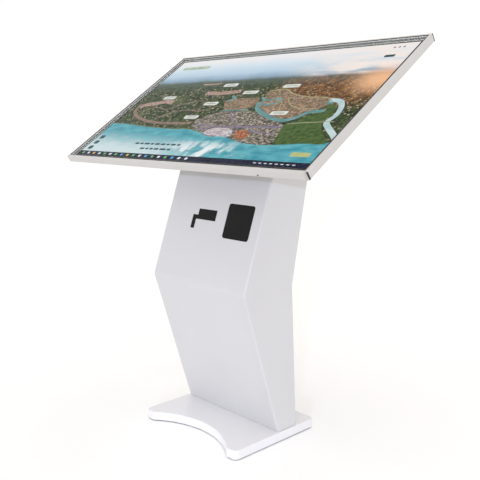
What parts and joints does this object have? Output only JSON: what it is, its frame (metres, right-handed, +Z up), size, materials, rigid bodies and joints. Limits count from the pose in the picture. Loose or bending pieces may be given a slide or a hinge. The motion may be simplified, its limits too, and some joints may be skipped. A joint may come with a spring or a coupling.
{
  "type": "touchscreen kiosk",
  "caption": "Free-standing touchscreen kiosk: large tilted flat screen in a slim metal frame on a white boomerang-shaped column with a rear service door and a low base hollowed at the front.",
  "frame": {"origin": "on the floor, under the middle of the screen frame", "axes": "+Z up, -Y towards the visitor, +X to the visitor's right"},
  "size_m": [0.9892, 0.4878, 1.12],
  "materials": {
    "powder_white": "satin gloss powder coat",
    "rail_aluminium": "satin anodised",
    "black_plastic": "moulded, fine grain",
    "black_acrylic": "polished",
    "screen_glass": "clear, flat",
    "lcd": "lit picture",
    "backlight": "white reflector",
    "zinc_steel": "zinc plated",
    "aluminium_case": "folded sheet",
    "dark_steel": "primer",
    "chrome": "polished plate",
    "circuit": "solder mask",
    "foot_rubber": "moulded rubber on a steel stem"
  },
  "bodies": {
    "kiosk": {"backlight_tray": "backlight", "ballast_plate": "dark_steel", "base_cover": "powder_white", "button_bezel": "chrome", "column_foot_plate": "zinc_steel", "controller_board": "circuit", "corner_insert_bl": "black_plastic", "corner_insert_br": "black_plastic", "corner_insert_fl": "black_plastic", "corner_insert_fr": "black_plastic", "equipment_tray": "zinc_steel", "fan_housing": "black_plastic", "frame_rail_back": "rail_aluminium", "frame_rail_front": "rail_aluminium", "frame_rail_left": "rail_aluminium", "frame_rail_right": "rail_aluminium", "front_panel": "powder_white", "hinge_leaf_fixed_lower": "chrome", "hinge_leaf_fixed_upper": "chrome", "hinge_pin_lower": "chrome", "hinge_pin_upper": "chrome", "ir_strip_back": "black_acrylic", "ir_strip_front": "black_acrylic", "ir_strip_left": "black_acrylic", "ir_strip_right": "black_acrylic", "lcd_panel": "lcd", "media_computer": "black_plastic", "neck_gusset_left": "zinc_steel", "neck_gusset_right": "zinc_steel", "network_socket": "black_plastic", "power_inlet": "black_plastic", "power_supply": "aluminium_case", "reader_module": "black_plastic", "reader_window": "black_acrylic", "rear_cover": "powder_white", "rear_header": "powder_white", "rear_sill": "powder_white", "rear_stile_left": "powder_white", "rear_stile_right": "powder_white", "rear_upper_panel": "powder_white", "sensor_module": "black_plastic", "sensor_plate": "black_acrylic", "side_panel_left": "powder_white", "side_panel_right": "powder_white", "status_window": "black_plastic", "top_plate": "zinc_steel", "touch_glass": "screen_glass"},
    "door": {"rear_door": "powder_white", "hinge_leaf_door_lower": "chrome", "hinge_leaf_door_upper": "chrome"},
    "lock": {"lock_cylinder": "chrome", "lock_cam": "zinc_steel"},
    "rocker": {"rocker_switch": "black_plastic"},
    "button": {"service_button": "black_plastic"},
    "fan": {"fan_rotor": "black_plastic"},
    "foot_fl": {"foot_fl": "foot_rubber"},
    "foot_fr": {"foot_fr": "foot_rubber"},
    "foot_bl": {"foot_bl": "foot_rubber"},
    "foot_br": {"foot_br": "foot_rubber"}
  },
  "joints": [
    {"name": "door_swing", "type": "hinge", "parent": "kiosk", "child": "door", "pos_m": [0.1715, 0.06155, 0.27591], "axis": [0, 0.0544, -0.9985], "range_deg": [0, 110]},
    {"name": "lock_turn", "type": "hinge", "parent": "door", "child": "lock", "pos_m": [-0.15, 0.05656, 0.27563], "axis": [0, 0.9985, 0.0544], "range_deg": [0, 90]},
    {"name": "rocker_tilt", "type": "hinge", "parent": "kiosk", "child": "rocker", "pos_m": [0.086, 0.06318, 0.0807], "axis": [-1, 0, 0], "range_deg": [0, 14]},
    {"name": "button_press", "type": "slide", "parent": "kiosk", "child": "button", "axis": [0, 0.9985, 0.0544], "range_m": [-0.003, 0], "stiffness_N_per_m": 400},
    {"name": "fan_spin", "type": "hinge", "parent": "kiosk", "child": "fan", "pos_m": [0, 0.07113, 0.65011], "axis": [0, 0.981, -0.1942], "continuous": true},
    {"name": "foot_screw_fl", "type": "slide", "parent": "kiosk", "child": "foot_fl", "axis": [0, 0, 1], "range_m": [-0.008, 0]},
    {"name": "foot_screw_fr", "type": "slide", "parent": "kiosk", "child": "foot_fr", "axis": [0, 0, 1], "range_m": [-0.008, 0]},
    {"name": "foot_screw_bl", "type": "slide", "parent": "kiosk", "child": "foot_bl", "axis": [0, 0, 1], "range_m": [-0.008, 0]},
    {"name": "foot_screw_br", "type": "slide", "parent": "kiosk", "child": "foot_br", "axis": [0, 0, 1], "range_m": [-0.008, 0]}
  ]
}
